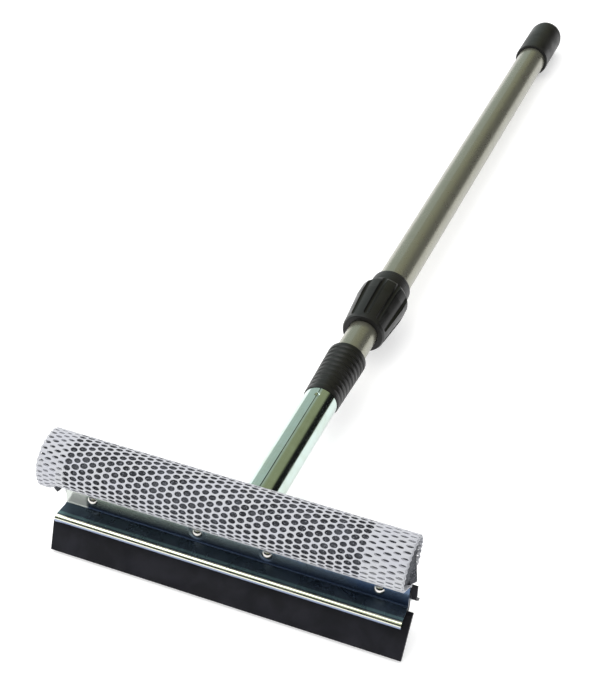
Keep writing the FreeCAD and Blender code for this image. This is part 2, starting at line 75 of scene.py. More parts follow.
# the foam bar, in millimetres
FOAM_AROUND, FOAM_ALONG = 96, 150
FOAM_INSET = 1.0             # inside the roll's outside
FOAM_SHORT = (0.6, 1.5)      # of the net's left and right ends
FOAM_DROP = 3.4              # sag of the free end
FOAM_LUMPS = 0.012           # unevenness, as a share of the radius
TUFT_AT, TUFT_DEPTH, TUFT_WIDTH = -103.2, 5.5, 1.3     # foam hanging out under the left end
TUFT_BELOW = -0.93           # how straight down from the centre a point has to be
WEDGE_REACH, WEDGE_RUN = 4.6, 4.0    # foam squeezed out at the rear of the right end
WEDGE_BACK, WEDGE_BACK_FADE = 1.2, 2.0       # behind the flange
WEDGE_TOP, WEDGE_TOP_FADE = 24.0, 12.0       # above the pole's axis
END_PINCH, END_PINCH_RINGS = 0.05, 3.0       # the skin draws in towards its ends
END_ROUND, END_LUMPS = 0.4, 0.5      # bulge and unevenness of the cut ends
END_RINGS = (0.8, 0.55, 0.3, 0.12)   # rings of the cut ends, as shares of the outermost

# the front plate's zones, where its painted reflections, highlight and shade change: each pair is
# where a change starts and ends, in metres
FLANGE_LEFT_END = (-0.0885, -0.0860)     # along the head
FLANGE_REFLECTION_FADE = (-0.09, 0.09)
FLANGE_SHADE = (-0.0045, 0.0025)         # above the pole's axis
HEM_HIGHLIGHT_SPLIT = (-0.0090, -0.0080)
SKIRT_START = (-0.0010, -0.0003)         # forward of the flange
REFLECTION_LINE_START, REFLECTION_LINE_END = (-0.0076, -0.0068), (-0.0090, -0.0085)
HEM_START = (-0.0100, -0.0094)

# turned ring marks: their pitch, and their run back from the end of the neck and of the cap
RING_PITCH = 0.0021
NECK_RINGS = (0.0065, 0.001)
CAP_RINGS = (0.012, 0.0055)

# the surround, as parts of a unit direction: each pair is where a change starts and ends
SIDE_LOW, SIDE_TOP, SIDE_EDGE = (-0.02, 0.06), (0.42, 0.56), (0.02, 0.20)
FRONT_LOW, FRONT_TOP, FRONT_EDGE = (-0.02, 0.02), (0.50, 0.62), (-0.6, -0.3)
CEILING_FADE = (-0.35, 0.05)
FLOOR_HALF, FLOOR_HEIGHT = 8.0, -0.0006

JOINTS = {joint["name"]: joint for joint in frame["record"]["behaviour"]["joints"]}


def pole_frame():
    """X along the head, Y along the pole to its cap, Z up through the roll, in metres."""
    joint = JOINTS["pole_turn"]
    y = -Vector(joint["axis"]).normalized()
    x = Vector((1, 0, 0))
    z = x.cross(y)
    place = Matrix((x, y, z)).transposed().to_4x4()
    place.translation = Vector(joint["pos_m"])
    return place


POLE = pole_frame()
NET_LOW, NET_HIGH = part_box("net_cover")
NET_LEFT = (NET_LOW.x - POLE.translation.x) / MM
NET_RIGHT = (NET_HIGH.x - POLE.translation.x) / MM


# ---------------------------------------------------------------- sizes and colours
def length(name, default, description):
    return FloatProperty(name=name, default=default, description=description, precision=2)


def colour(name, default, description):
    return FloatVectorProperty(name=name, default=default, description=description,
                               subtype="COLOR", size=3, min=0.0, max=1.0)


class SQ_roll_sizes(PropertyGroup):
    radius: length("Roll radius", 15.7, "Outside of the net, in millimetres")
    centre_y: length("Roll centre, back", -1.7, "Along the pole from the flange, in millimetres")
    centre_z: length("Roll centre, up", 29.5, "Above the pole's axis, in millimetres")
    neck_z: length("Neck height", 9.7, "Where the roll narrows into the clamp, in millimetres")
    foot_z: length("Foot height", 5.0, "Lower edge of the clamped tail, in millimetres")
    plate: length("Plate thickness", 0.8, "Front plate, in millimetres")
    gap: length("Clamp gap", 2.4, "Between the two plates, in millimetres")
    columns: IntProperty(name="Columns of holes", default=46, min=4,
                         description="Hexagons along the roll")
    rows: IntProperty(name="Rows of holes", default=30, min=4,
                      description="Hexagons round the roll")
    hole: FloatProperty(name="Hole size", default=0.86, min=0.1, max=0.95, subtype="FACTOR",
                        description="Share of each hexagon that is open")
    band_hole: FloatProperty(name="Hole size in the bands", default=0.86, min=0.1, max=0.95,
                             subtype="FACTOR", description="Where the net is doubled over")
    left_band: IntProperty(name="Left band", default=4, description="Columns in the left band")
    right_band: IntProperty(name="Right band", default=5, description="Columns in the right band")
    strand: length("Strand thickness", 0.45, "Thickness of the net, in millimetres")


class SQ_colours(PropertyGroup):
    net: colour("Net", (0.55, 0.56, 0.59), "Knitted net")
    foam: colour("Foam", (0.088, 0.092, 0.104), "Open-cell foam")
    # painted reflection: the flange's colour runs from a pale grey-green on its left half to dark
    # blue at its right end
    flange_left_reflection: colour("Flange, left", (0.36, 0.43, 0.38), "Zinc on the flange's left half")
    flange_right_reflection: colour("Flange, right", (0.07, 0.12, 0.24), "Zinc at the flange's right end")
    # painted dark reflection: the skirt's dark colour stands in for the shaded underside of the
    # roll reflected in it
    skirt: colour("Skirt", (0.065, 0.088, 0.112), "Dark passivated zinc on the skirt")
    # painted reflection: a teal line where the skirt meets its hem
    skirt_line_reflection: colour("Skirt line", (0.16, 0.26, 0.27), "Where the skirt meets its hem")
    # painted highlight on the hem's top, and a painted blue floor reflection on its underside
    hem: colour("Hem", (0.86, 0.86, 0.68), "Rolled hem above")
    hem_floor_reflection: colour("Hem, below", (0.26, 0.31, 0.44), "Rolled hem below")
    flange_end: colour("Flange, far left", (0.66, 0.70, 0.66), "Bare zinc past the left rivet")
    rivet: colour("Rivets", (0.70, 0.68, 0.66), "Rivet heads")
    washer: colour("Washers", (0.60, 0.60, 0.58), "Burr washers behind the rivets")
    zinc: colour("Zinc", (0.62, 0.66, 0.68), "Plain zinc plate")
    handle: colour("Handle", (0.50, 0.58, 0.50), "Yellowish zinc on the handle")
    rubber: colour("Rubber", (0.0065, 0.0065, 0.011), "Blade and flap")
    tube: colour("Tubes", (0.29, 0.287, 0.23), "Satin paint on the pole")
    plastic: colour("Black plastic", (0.0062, 0.0062, 0.0062), "Grip, lock and cap")
    hidden: colour("Natural plastic", (0.55, 0.54, 0.50), "Plug, wear ring and clamp ring")


class SQ_stage(PropertyGroup):
    camera_at: FloatVectorProperty(
        name="Camera", size=3, default=(0.2329, -0.5150, 0.5724), subtype="TRANSLATION",
        unit="LENGTH", description="Camera's place in the pole's frame")
    camera_turn: FloatVectorProperty(
        name="Camera turn", size=3, default=(2.187, 0.436, -0.184), subtype="XYZ",
        description="Camera's axis and angle in the pole's frame, with Y down and Z forward")
    lens: FloatProperty(name="Lens", default=77.06, unit="CAMERA", min=1,
                        description="Focal length for a 36 mm sensor")
    floor: colour("Floor", (0.93, 0.93, 0.93), "Plain pale floor")
    ceiling_left: colour("Ceiling, left", (0.58, 0.67, 0.62), "Seen in reflections only")
    ceiling_right: colour("Ceiling, right", (0.36, 0.37, 0.22), "Seen in reflections only")
    band: colour("Dark bands", (0.006, 0.006, 0.006), "Seen in reflections only")
    key: FloatProperty(name="Key light", default=6.0, min=0, unit="POWER",
                       description="Large soft light above the head")
    fill: FloatProperty(name="Fill", default=1.0, min=0, description="Brightness of the surround")


def sizes():
    return bpy.context.scene.squeegee_roll


def colours():
    return bpy.context.scene.squeegee_colours


def stage():
    return bpy.context.scene.squeegee_stage


# ---------------------------------------------------------------- wiring
class Wires:
    """Adds nodes to a tree and joins them up."""

    def __init__(self, tree):
        self.tree = tree

    def put(self, value, socket):
        if isinstance(value, bpy.types.NodeSocket):
            self.tree.links.new(value, socket)
        else:
            socket.default_value = value

    def add(self, kind, inputs=None, **settings):
        node = self.tree.nodes.new(kind)
        for name, value in settings.items():
            setattr(node, name, value)
        for name, value in (inputs or {}).items():
            self.put(value, node.inputs[name])
        return node

    def math(self, operation, *values, clamp=False):
        node = self.add("ShaderNodeMath", operation=operation, use_clamp=clamp)
        for k, value in enumerate(values):
            self.put(value, node.inputs[k])
        return node.outputs[0]

    def ramp(self, value, low, high, to_low=0.0, to_high=1.0, smooth=False):
        """A value carried from one range to another and held at its ends."""
        node = self.add("ShaderNodeMapRange", {0: value, 1: low, 2: high, 3: to_low, 4: to_high},
                        clamp=True)
        node.interpolation_type = "SMOOTHSTEP" if smooth else "LINEAR"
        return node.outputs[0]

    def rise(self, value, low, high):
        return self.ramp(value, low, high, smooth=True)

    def fall(self, value, low, high):
        return self.ramp(value, low, high, 1.0, 0.0, smooth=True)

    def vector(self, operation, a, b=None):
        node = self.add("ShaderNodeVectorMath", {0: a}, operation=operation)
        if b is not None:
            self.put(b, node.inputs["Scale" if operation == "SCALE" else 1])
        return node.outputs[0]

    def split(self, vector):
        return self.add("ShaderNodeSeparateXYZ", {0: vector}).outputs

    def combine(self, x, y, z):
        return self.add("ShaderNodeCombineXYZ", {0: x, 1: y, 2: z}).outputs[0]

    def mix_colour(self, factor, a, b):
        node = self.add("ShaderNodeMix", data_type="RGBA")
        self.put(factor, node.inputs[0])
        self.put(opaque(a), node.inputs[6])
        self.put(opaque(b), node.inputs[7])
        return node.outputs[2]


def shade(tint, by, lift=0.0):
    return tuple(min(1.0, c * by + lift) for c in tint)


def opaque(value):
    if isinstance(value, bpy.types.NodeSocket):
        return value
    return (value[0], value[1], value[2], 1.0)


def shader_group(name, inputs, outputs):
    """An empty shader group with its sockets, and the nodes that stand for them."""
    tree = bpy.data.node_groups.new(name, "ShaderNodeTree")
    for label, kind, default in inputs:
        socket = tree.interface.new_socket(label, in_out="INPUT", socket_type="NodeSocket" + kind)
        if default is not None:
            socket.default_value = default
    for label, kind in outputs:
        tree.interface.new_socket(label, in_out="OUTPUT", socket_type="NodeSocket" + kind)
    wires = Wires(tree)
    return wires, wires.add("NodeGroupInput").outputs, wires.add("NodeGroupOutput").inputs


def grain_group():
    """Fine moulded grain with a slower unevenness under it."""
    if "Moulded grain" in bpy.data.node_groups:
        return bpy.data.node_groups["Moulded grain"]
    wires, given, out = shader_group(
        "Moulded grain",
        [("Vector", "Vector", None), ("Size", "Float", 2500.0),
         ("Unevenness", "Float", 0.4)],
        [("Height", "Float"), ("Patches", "Float")])
    fine = wires.add("ShaderNodeTexNoise", {"Vector": given["Vector"], "Scale": given["Size"],
                                            "Detail": 3.0, "Roughness": 0.6})
    slow = wires.add("ShaderNodeTexNoise", {"Vector": given["Vector"], "Scale": 90.0,
                                            "Detail": 4.0, "Roughness": 0.55})
    part = wires.math("MULTIPLY", slow.outputs[0], given["Unevenness"])
    wires.put(wires.math("ADD", fine.outputs[0], part), out["Height"])
    wires.put(wires.rise(slow.outputs[0], 0.35, 0.65), out["Patches"])
    return wires.tree


def streak_group():
    """Rolling streaks drawn out along one way, with a few handling marks across them."""
    if "Rolling streaks" in bpy.data.node_groups:
        return bpy.data.node_groups["Rolling streaks"]
    wires, given, out = shader_group(
        "Rolling streaks",
        [("Vector", "Vector", None), ("Stretch", "Vector", (1.0, 40.0, 40.0)),
         ("Marks", "Float", 0.3)],
        [("Height", "Float"), ("Streaks", "Float"),
         ("Smudges", "Float")])
    drawn = wires.vector("MULTIPLY", given["Vector"], given["Stretch"])
    lines = wires.add("ShaderNodeTexNoise", {"Vector": drawn, "Scale": 30.0,
                                             "Detail": 5.0, "Roughness": 0.7})
    smudge = wires.add("ShaderNodeTexNoise", {"Vector": given["Vector"], "Scale": 60.0,
                                              "Detail": 5.0, "Roughness": 0.6,
                                              "Distortion": 0.6})
    cells = wires.add("ShaderNodeTexVoronoi", {"Vector": given["Vector"], "Scale": 420.0})
    specks = wires.ramp(cells.outputs["Distance"], 0.0, 0.12, 1.0, 0.0)
    marks = wires.math("MULTIPLY", specks, given["Marks"])
    height = wires.math("SUBTRACT", lines.outputs[0], marks)
    wires.put(height, out["Height"])
    wires.put(lines.outputs[0], out["Streaks"])
    wires.put(wires.rise(smudge.outputs[0], 0.4, 0.7), out["Smudges"])
    return wires.tree


def use_group(wires, tree, inputs):
    node = wires.add("ShaderNodeGroup", node_tree=tree)
    for name, value in inputs.items():
        wires.put(value, node.inputs[name])
    return node.outputs


def blank_material(name, base, **sockets):
    """A material holding one Principled shader, with its plain values set."""
    material = bpy.data.materials.new(name)
    material.use_nodes = True
    material.diffuse_color = opaque(base)
    material.node_tree.nodes.clear()
    wires = Wires(material.node_tree)
    shader = wires.add("ShaderNodeBsdfPrincipled", {"Base Color": opaque(base)})
    for name, value in sockets.items():
        shader.inputs[name.replace("_", " ")].default_value = value
    out = wires.add("ShaderNodeOutputMaterial")
    wires.tree.links.new(shader.outputs[0], out.inputs["Surface"])
    place = wires.add("ShaderNodeTexCoord").outputs["Object"]
    return material, wires, shader.inputs, place


def bump(wires, sockets, height, distance, strength):
    node = wires.add("ShaderNodeBump", {"Height": height, "Distance": distance,
                                        "Strength": strength})
    wires.put(node.outputs[0], sockets["Normal"])


# ---------------------------------------------------------------- finishes
def zinc_finish(name, base, rough, stretch=(1.0, 40.0, 40.0)):
    """Plain zinc plate, streaked from rolling and slightly dulled by handling."""
    material, wires, sockets, place = blank_material(name, base, Metallic=1.0)
    streaks = use_group(wires, streak_group(), {"Vector": place, "Stretch": stretch})
    tone = wires.mix_colour(streaks["Streaks"], shade(base, 0.78), shade(base, 1.18))
    wires.put(wires.mix_colour(wires.math("MULTIPLY", streaks["Smudges"], 0.35), tone,
                               (base[0] * 0.7, base[1] * 0.74, base[2] * 0.7)),
              sockets["Base Color"])
    wires.put(wires.ramp(streaks["Smudges"], 0.0, 1.0, rough, rough + 0.12), sockets["Roughness"])
    bump(wires, sockets, streaks["Height"], 0.00002, 0.35)
    return material


def front_plate_finish():
    """Zinc plate coloured with painted light: a pale flange running to blue (painted reflection)
    and shaded low down (painted shade), a dark skirt (painted dark reflection), a bright hem
    (painted highlight) that is blue below (painted floor reflection).
    """
    tint = colours()
    material, wires, sockets, place = blank_material("front_zinc", tint.zinc, Metallic=1.0)
    streaks = use_group(wires, streak_group(), {"Vector": place, "Marks": 0.2})
    parts = wires.split(place)
    forward = wires.math("SUBTRACT", parts[1], POLE.translation.y)
    # painted reflection: the flange's colour runs from pale at the left to dark blue at the right
    along = wires.ramp(parts[0], *FLANGE_REFLECTION_FADE)
    patchy = wires.math("MULTIPLY", wires.math("SUBTRACT", streaks["Smudges"], 0.5), 0.25)
    uneven = wires.math("ADD", along, patchy, clamp=True)
    flange = wires.mix_colour(uneven, tint.flange_left_reflection, tint.flange_right_reflection)
    # painted dark reflection: the skirt is coloured dark for the shaded roll it reflects
    skirt = wires.mix_colour(wires.math("MULTIPLY", streaks["Smudges"], 0.4), tint.skirt,
                             shade(tint.skirt, 1.5))
    height = wires.math("SUBTRACT", parts[2], POLE.translation.z)
    # painted shade: the flange is darkened low down, by its bend towards the skirt
    flange = wires.mix_colour(wires.rise(height, *FLANGE_SHADE),
                              shade(tint.flange_right_reflection, 0.35), flange)
    end = wires.fall(parts[0], *FLANGE_LEFT_END)
    flange = wires.mix_colour(end, flange, tint.flange_end)
    on_skirt = wires.fall(forward, *SKIRT_START)
    # painted reflection: a teal line along the skirt where it meets the hem
    reflection_line = wires.math("MULTIPLY", wires.rise(forward, *REFLECTION_LINE_END),
                          wires.fall(forward, *REFLECTION_LINE_START))
    on_hem = wires.fall(forward, *HEM_START)
    # painted highlight on the hem's top, painted floor reflection below it
    hem = wires.mix_colour(wires.rise(height, *HEM_HIGHLIGHT_SPLIT), tint.hem_floor_reflection,
                           tint.hem)
    tone = wires.mix_colour(on_skirt, flange, skirt)
    tone = wires.mix_colour(reflection_line, tone, tint.skirt_line_reflection)
    tone = wires.mix_colour(on_hem, tone, hem)
    wires.put(tone, sockets["Base Color"])
    metal = wires.math("SUBTRACT", 0.75, wires.math("MULTIPLY", end, 0.25))
    metal = wires.math("MAXIMUM", metal, on_skirt)
    wires.put(metal, sockets["Metallic"])
    rough = wires.ramp(streaks["Smudges"], 0.0, 1.0, 0.14, 0.24)
    dull = wires.math("MULTIPLY", wires.math("SUBTRACT", on_skirt, on_hem), 0.12)
    wires.put(wires.math("ADD", rough, dull), sockets["Roughness"])
    bump(wires, sockets, streaks["Height"], 0.00002, 0.3)
    return material


def handle_finish():
    """Yellowish zinc on the rolled tube, with rolling streaks along it."""
    tint = colours().handle
    material, wires, sockets, place = blank_material("handle_zinc", tint, Metallic=1.0)
    streaks = use_group(wires, streak_group(), {"Vector": place, "Stretch": (60.0, 1.5, 60.0)})
    pale = (min(1, tint[0] * 1.2), min(1, tint[1] * 1.25), min(1, tint[2] * 1.45))
    tone = wires.mix_colour(streaks["Streaks"], tint, pale)
    tone = wires.mix_colour(wires.math("MULTIPLY", streaks["Smudges"], 0.3), tone,
                            (tint[0] * 0.75, tint[1] * 0.75, tint[2] * 0.6))
    wires.put(tone, sockets["Base Color"])
    wires.put(wires.ramp(streaks["Smudges"], 0.0, 1.0, 0.12, 0.20), sockets["Roughness"])
    bump(wires, sockets, streaks["Height"], 0.00002, 0.25)
    return material


def rubber_finish():
    """Black rubber, slightly dusty in patches."""
    tint = colours().rubber
    material, wires, sockets, place = blank_material("blade_rubber", tint, Specular_IOR_Level=0.3)
    grain = use_group(wires, grain_group(), {"Vector": place, "Size": 1800.0, "Unevenness": 1.5})
    streaks = use_group(wires, streak_group(), {"Vector": place, "Marks": 0.1})
    tone = wires.mix_colour(wires.math("MULTIPLY", streaks["Smudges"], 0.5), tint,
                            shade(tint, 2.2, 0.004))
    wires.put(tone, sockets["Base Color"])
    wires.put(wires.ramp(grain["Patches"], 0.0, 1.0, 0.42, 0.58), sockets["Roughness"])
    bump(wires, sockets, grain["Height"], 0.00004, 0.5)
    return material


def foam_finish():
    """Dark open-cell foam: pale raised walls round pores darkened with painted shade."""
    tint = colours().foam
    material, wires, sockets, place = blank_material("open_foam", tint, Roughness=0.95,
                                                     Specular_IOR_Level=0.15)
    pores = wires.add("ShaderNodeTexVoronoi", {"Vector": place, "Scale": 900.0})
    # painted shade: the pores are coloured darker than the raised walls round them
    holes = wires.rise(pores.outputs["Distance"], 0.1, 0.5)
    grain = use_group(wires, grain_group(), {"Vector": place, "Size": 1200.0, "Unevenness": 1.0})
    tone = wires.mix_colour(holes, shade(tint, 2.6), shade(tint, 0.4))
    tone = wires.mix_colour(wires.math("MULTIPLY", grain["Patches"], 0.4), tone,
                            shade(tint, 1.6))
    wires.put(tone, sockets["Base Color"])
    height = wires.math("SUBTRACT", grain["Height"], holes)
    bump(wires, sockets, height, 0.0004, 0.9)
    return material


def net_finish():
    """Knitted white net: fine twisted fibre, slightly greyer where it is shaded and soiled."""
    tint = colours().net
    material, wires, sockets, place = blank_material("knitted_net", tint, Roughness=0.62,
                                                     Specular_IOR_Level=0.35, Sheen_Weight=0.25,
                                                     Sheen_Roughness=0.5)
    fibre = wires.add("ShaderNodeTexWave", {"Vector": place, "Scale": 700.0, "Distortion": 6.0,
                                            "Detail": 3.0, "Detail Scale": 1.5},
                      wave_type="BANDS", bands_direction="DIAGONAL")
    grain = use_group(wires, grain_group(), {"Vector": place, "Size": 2200.0, "Unevenness": 0.8})
    tone = wires.mix_colour(fibre.outputs["Fac"], shade(tint, 0.84), tint)
    soiled = (tint[0] * 0.90, tint[1] * 0.90, tint[2] * 0.96)
    tone = wires.mix_colour(wires.math("MULTIPLY", grain["Patches"], 0.5), tone, soiled)
    wires.put(tone, sockets["Base Color"])
    height = wires.math("ADD", wires.math("MULTIPLY", fibre.outputs["Fac"], 0.7), grain["Height"])
    bump(wires, sockets, height, 0.00012, 0.5)
    return material


def tube_finish():
    """Satin paint with a little metal in it."""
    tint = colours().tube
    material, wires, sockets, place = blank_material("pole_paint", tint, Metallic=0.74,
                                                     Coat_Weight=0.15, Coat_Roughness=0.25)
    streaks = use_group(wires, streak_group(), {"Vector": place, "Stretch": (50.0, 1.0, 50.0),
                                                "Marks": 0.05})
    grain = use_group(wires, grain_group(), {"Vector": place, "Size": 3000.0})
    tone = wires.mix_colour(streaks["Streaks"], shade(tint, 0.94), shade(tint, 1.06))
    tone = wires.mix_colour(wires.math("MULTIPLY", streaks["Smudges"], 0.2), tone,
                            shade(tint, 0.8))
    wires.put(tone, sockets["Base Color"])
    wires.put(wires.ramp(streaks["Smudges"], 0.0, 1.0, 0.27, 0.32), sockets["Roughness"])
    bump(wires, sockets, grain["Height"], 0.00001, 0.03)
    return material


def plastic_finish(name, tint, rough, rings=None):
    """Moulded plastic; rings gives the run of the pole, from and to, with turned ring marks."""
    material, wires, sockets, place = blank_material(name, tint, Specular_IOR_Level=0.36)
    grain = use_group(wires, grain_group(), {"Vector": place, "Size": 2600.0, "Unevenness": 0.6})
    tone = wires.mix_colour(wires.math("MULTIPLY", grain["Patches"], 0.5), tint,
                            shade(tint, 1.5, 0.002))
    wires.put(wires.ramp(grain["Patches"], 0.0, 1.0, rough, rough + 0.12), sockets["Roughness"])
    height = grain["Height"]
    if rings:
        along = wires.split(place)[1]
        wave = wires.math("SINE", wires.math("MULTIPLY", along, 2 * math.pi / RING_PITCH))
        line = wires.rise(wave, 0.80, 1.0)
        inside = wires.math("MULTIPLY", wires.math("GREATER_THAN", along, rings[0]),
                            wires.math("LESS_THAN", along, rings[1]))
        line = wires.math("MULTIPLY", line, inside)
        tone = wires.mix_colour(wires.math("MULTIPLY", line, 0.5), tone,
                                shade(tint, 3, 0.01))
        height = wires.math("ADD", height, wires.math("MULTIPLY", line, 3.0))
    wires.put(tone, sockets["Base Color"])
    bump(wires, sockets, height, 0.00004, 0.4)
    return material


def finish_node(material, *names):
    """Gives CAD nodes their material."""
    for name in names:
        mesh = frame["nodes"][name].data
        mesh.materials.clear()
        mesh.materials.append(material)


# ---------------------------------------------------------------- the roll
def tangent(point, centre, radius, side):
    """Where a line from the point touches the circle."""
    away = math.acos(radius / (point - centre).length) * side
    way = (point - centre).normalized()
    turned = Vector((way.x * math.cos(away) - way.y * math.sin(away),
                     way.x * math.sin(away) + way.y * math.cos(away)))
    return centre + turned * radius


def roll_outline(inset, points):
    """The roll's section from the front of the clamp, over the crown, to its rear, in mm."""
    size = sizes()
    centre = Vector((size.centre_y, size.centre_z))
    radius = size.radius - inset
    front = size.plate + CLAMP_CLEARANCE + inset
    rear = size.plate + size.gap - CLAMP_CLEARANCE - inset
    a = tangent(Vector((front, size.neck_z)), centre, radius, -1)
    b = tangent(Vector((rear, size.neck_z)), centre, radius, 1)
    start = math.atan2(a.y - centre.y, a.x - centre.x)
    end = math.atan2(b.y - centre.y, b.x - centre.x)
    if start < 0:
        start += 2 * math.pi
    if end > start:
        end -= 2 * math.pi
    if end < -math.pi:
        end += 2 * math.pi
    rough = [Vector((front, size.foot_z)), Vector((front, size.neck_z))]
    for k in range(ARC_STEPS + 1):
        angle = start + (end - start) * k / ARC_STEPS
        rough.append(centre + Vector((math.cos(angle), math.sin(angle))) * radius)
    rough += [Vector((rear, size.neck_z)), Vector((rear, size.foot_z))]
    return even(rough, points)


def hanging(point, inset, drop):
    """Where a point of the pinched section lies at the roll's free end, which hangs round."""
    size = sizes()
    centre = Vector((size.centre_y, size.centre_z))
    way = (point - centre).normalized()
    return centre + way * (size.radius - inset + drop * max(0.0, -way.y) ** 2)


def even(points, count):
    """The line through the points, divided into equal runs."""
    lengths = [0.0]
    for a, b in zip(points, points[1:]):
        lengths.append(lengths[-1] + (b - a).length)
    out = []
    k = 0
    for n in range(count):
        want = lengths[-1] * n / (count - 1)
        while k < len(points) - 2 and lengths[k + 1] < want:
            k += 1
        run = lengths[k + 1] - lengths[k]
        share = (want - lengths[k]) / run if run > 1e-9 else 0.0
        out.append(points[k].lerp(points[k + 1], share))
    return out


def new_object(name, mesh, body, material=None):
    """A smooth object that rides a body, in the material given or the mesh's own."""
    thing = bpy.data.objects.new(name, mesh)
    bpy.context.scene.collection.objects.link(thing)
    if material is not None:
        mesh.materials.clear()
        mesh.materials.append(material)
    mesh.shade_smooth()
    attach(thing, body)
    return thing


def line_object(name, points):
    """An open line of edges."""
    mesh = bpy.data.meshes.new(name)
    mesh.from_pydata(points, [(k, k + 1) for k in range(len(points) - 1)], [])
    thing = bpy.data.objects.new(name, mesh)
    bpy.context.scene.collection.objects.link(thing)
    return thing


def run_tree(thing, tree, values):
    """Runs a Geometry Nodes tree on the object and hands back its plain mesh."""
    modifier = thing.modifiers.new(tree.name, "NODES")
    modifier.node_group = tree
    for item in tree.interface.items_tree:
        if item.item_type == "SOCKET" and item.in_out == "INPUT" and item.name in values:
            modifier[item.identifier] = values[item.name]
    thing.update_tag()
    bpy.context.view_layer.update()
    graph = bpy.context.evaluated_depsgraph_get()
    mesh = bpy.data.meshes.new_from_object(thing.evaluated_get(graph), depsgraph=graph)
    thing.modifiers.remove(modifier)
    old = thing.data
    bpy.data.objects.remove(thing)
    bpy.data.meshes.remove(old)
    return mesh


def net_tree():
    """Staggered hexagons, pierced, then wrapped round the roll's section."""
    tree = bpy.data.node_groups.new("Hexagon net", "GeometryNodeTree")
    tree.is_modifier = True
    face = tree.interface
    face.new_socket("Section", in_out="INPUT", socket_type="NodeSocketGeometry")
    for label, kind, default in (
            ("Columns", "Int", 46), ("Rows", "Int", 30),
            ("Left", "Float", -0.1), ("Right", "Float", 0.1),
            ("Left Band", "Int", 4), ("Right Band", "Int", 5),
            ("Hole", "Float", 0.7), ("Band Hole", "Float", 0.4),
            ("Band Flatten", "Float", 0.5), ("Free From", "Float", -0.1),
            ("Left Tight", "Float", 0.86),
            ("Lean", "Float", 0.05), ("Middle Height", "Float", 0.0295),
            ("Middle", "Float", -0.0017), ("Radius", "Float", 0.0157),
            ("Drop", "Float", 0.0036),
            ("Seed", "Int", 7), ("Material", "Material", None)):
        socket = face.new_socket(label, in_out="INPUT", socket_type="NodeSocket" + kind)
        if default is not None:
            socket.default_value = default
    face.new_socket("Net", in_out="OUTPUT", socket_type="NodeSocketGeometry")
    w = Wires(tree)
    given = w.add("NodeGroupInput").outputs
    out = w.add("NodeGroupOutput").inputs

    # hexagons laid out flat, every other column half a row higher
    span = w.math("SUBTRACT", given["Right"], given["Left"])
    pitch = w.math("DIVIDE", span, w.math("SUBTRACT", given["Columns"], 0.35))
    grid = w.add("GeometryNodeMeshGrid", {"Size X": 1.0, "Size Y": 1.0,
                                          "Vertices X": given["Columns"],
                                          "Vertices Y": given["Rows"]})
    index = w.add("GeometryNodeInputIndex").outputs[0]
    column = w.math("FLOOR", w.math("DIVIDE", w.math("ADD", index, 0.5), given["Rows"]))
    row = w.math("SUBTRACT", index, w.math("MULTIPLY", column, given["Rows"]))
    odd = w.math("MODULO", column, 2.0)
    x = w.math("ADD", given["Left"], w.math("MULTIPLY", pitch, w.math("ADD", column, 0.33)))
    up = w.math("ADD", w.math("ADD", row, 0.75), w.math("MULTIPLY", odd, 0.5))
    y = w.math("MULTIPLY", up, ROW_PITCH)
    spot = w.combine(x, y, 0.0)
    points = w.add("GeometryNodeSetPosition", {"Geometry": grid.outputs[0],
                                               "Position": spot}).outputs[0]
    cell = w.add("GeometryNodeMeshCircle", {"Vertices": 6, "Radius": 1.0}, fill_type="NGON")
    size = w.combine(w.math("MULTIPLY", pitch, 2 / 3), ROW_PITCH / math.sqrt(3), 1.0)
    cells = w.add("GeometryNodeInstanceOnPoints", {"Points": points, "Instance": cell.outputs[0],
                                                   "Scale": size}).outputs[0]
    flat = w.add("GeometryNodeRealizeInstances", {"Geometry": cells}).outputs[0]
    flat = w.add("GeometryNodeMergeByDistance", {"Geometry": flat, "Distance": 0.00008}).outputs[0]

    # which hexagons are in either band, from the flat position
    place = w.add("GeometryNodeInputPosition").outputs[0]
    flat_x = w.split(place)[0]
    left_edge = w.math("ADD", given["Left"], w.math("MULTIPLY", pitch, given["Left Band"]))
    right_edge = w.math("SUBTRACT", given["Right"], w.math("MULTIPLY", pitch, given["Right Band"]))
    banded = w.math("MAXIMUM", w.math("LESS_THAN", flat_x, left_edge),
                    w.math("GREATER_THAN", flat_x, right_edge))
    flat = w.add("GeometryNodeStoreNamedAttribute",
                 {"Geometry": flat, "Name": "doubled", "Value": banded},
                 data_type="FLOAT", domain="FACE").outputs[0]

    # every hexagon pierced; holes in the bands are flatter
    chance = w.add("FunctionNodeRandomValue", {"Seed": given["Seed"]}, data_type="FLOAT")
    w.put(0.90, chance.inputs[2])
    w.put(1.08, chance.inputs[3])
    opening = w.math("ADD", given["Hole"], w.math("MULTIPLY", banded, w.math(
        "SUBTRACT", given["Band Hole"], given["Hole"])))
    opening = w.math("MULTIPLY", opening, chance.outputs[1])
    flatten = w.math("ADD", 1.0, w.math("MULTIPLY", banded, w.math(
        "SUBTRACT", given["Band Flatten"], 1.0)))
    drawn = w.add("GeometryNodeExtrudeMesh", {"Mesh": flat, "Offset Scale": 0.0,
                                              "Individual": True}, mode="FACES")
    top = drawn.outputs["Top"]
    pierced = w.add("GeometryNodeScaleElements", {"Geometry": drawn.outputs[0], "Selection": top,
                                                  "Scale": opening}, domain="FACE").outputs[0]
    pierced = w.add("GeometryNodeScaleElements",
                    {"Geometry": pierced, "Selection": top, "Scale": flatten,
                     "Axis": (0.0, 1.0, 0.0)}, domain="FACE", scale_mode="SINGLE_AXIS").outputs[0]
    pierced = w.add("GeometryNodeDeleteGeometry", {"Geometry": pierced, "Selection": top},
                    domain="FACE").outputs[0]
    knitted = w.add("GeometryNodeSubdivisionSurface", {"Mesh": pierced, "Level": 1}).outputs[0]

